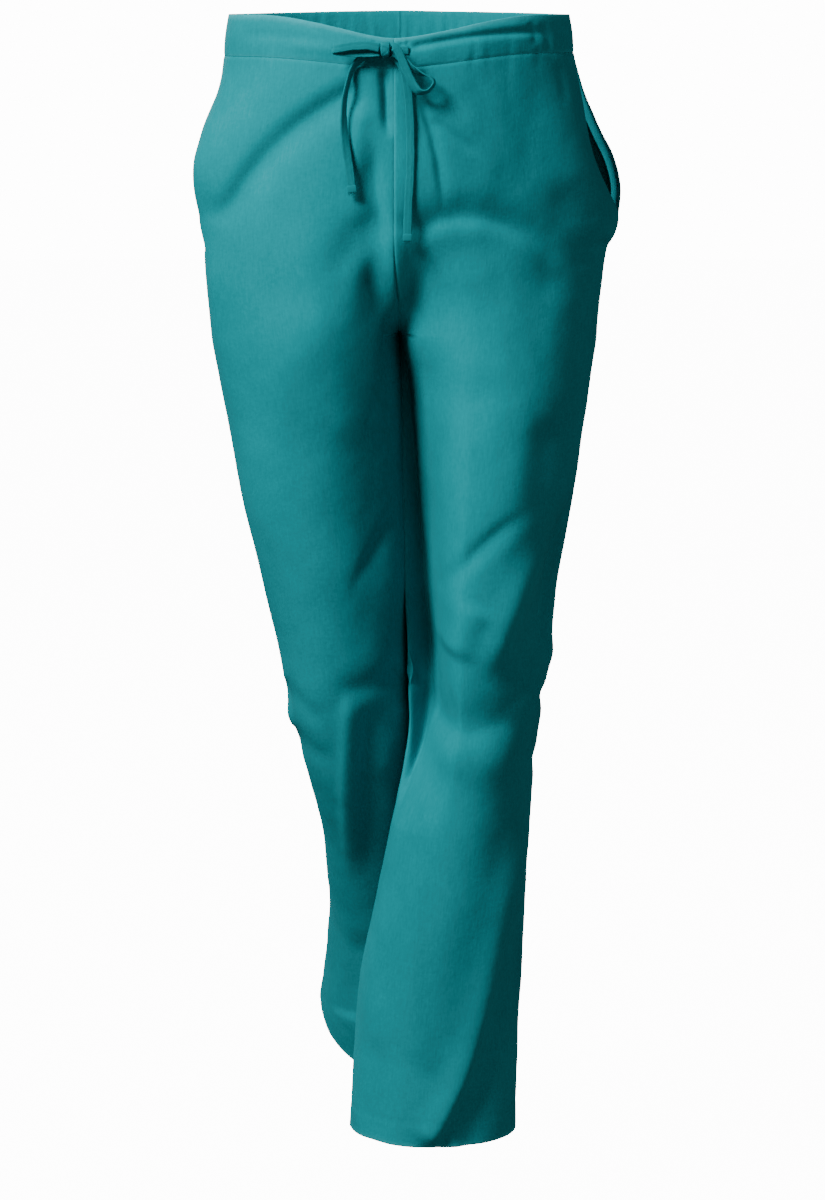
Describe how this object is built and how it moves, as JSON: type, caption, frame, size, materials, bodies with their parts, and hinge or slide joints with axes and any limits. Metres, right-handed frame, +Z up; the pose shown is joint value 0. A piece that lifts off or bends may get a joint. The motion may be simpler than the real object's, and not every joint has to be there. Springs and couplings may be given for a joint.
{
  "type": "drawstring scrub trousers",
  "caption": "Hollow worn scrub trousers in a stepping pose, with a gathered waist casing, a tied flat drawstring, slanted side pockets and open hems.",
  "frame": {"origin": "on the waistline, in the middle of the hollow waist, where the wearer's waist carries the trousers", "axes": "+Z up, -Y to the front of the wearer, +X to the wearer's left"},
  "size_m": [0.3985, 0.4337, 1.0365],
  "materials": {
    "scrub_cloth": "matte poly-cotton poplin, teal",
    "drawstring_tape": "matte woven flat tape, teal"
  },
  "bodies": {
    "root": {"front_right": "scrub_cloth", "front_left": "scrub_cloth", "back_right": "scrub_cloth", "back_left": "scrub_cloth", "waistband_front_right": "scrub_cloth", "waistband_front_left": "scrub_cloth", "waistband_back_right": "scrub_cloth", "waistband_back_left": "scrub_cloth", "pocket_bag_right": "scrub_cloth", "pocket_bag_left": "scrub_cloth", "drawstring_knot": "drawstring_tape", "drawstring_lead_right": "drawstring_tape", "drawstring_lead_left": "drawstring_tape", "drawstring_tail_right": "drawstring_tape", "drawstring_tail_left": "drawstring_tape", "drawstring_loop_right": "drawstring_tape", "drawstring_loop_left": "drawstring_tape"}
  },
  "joints": []
}
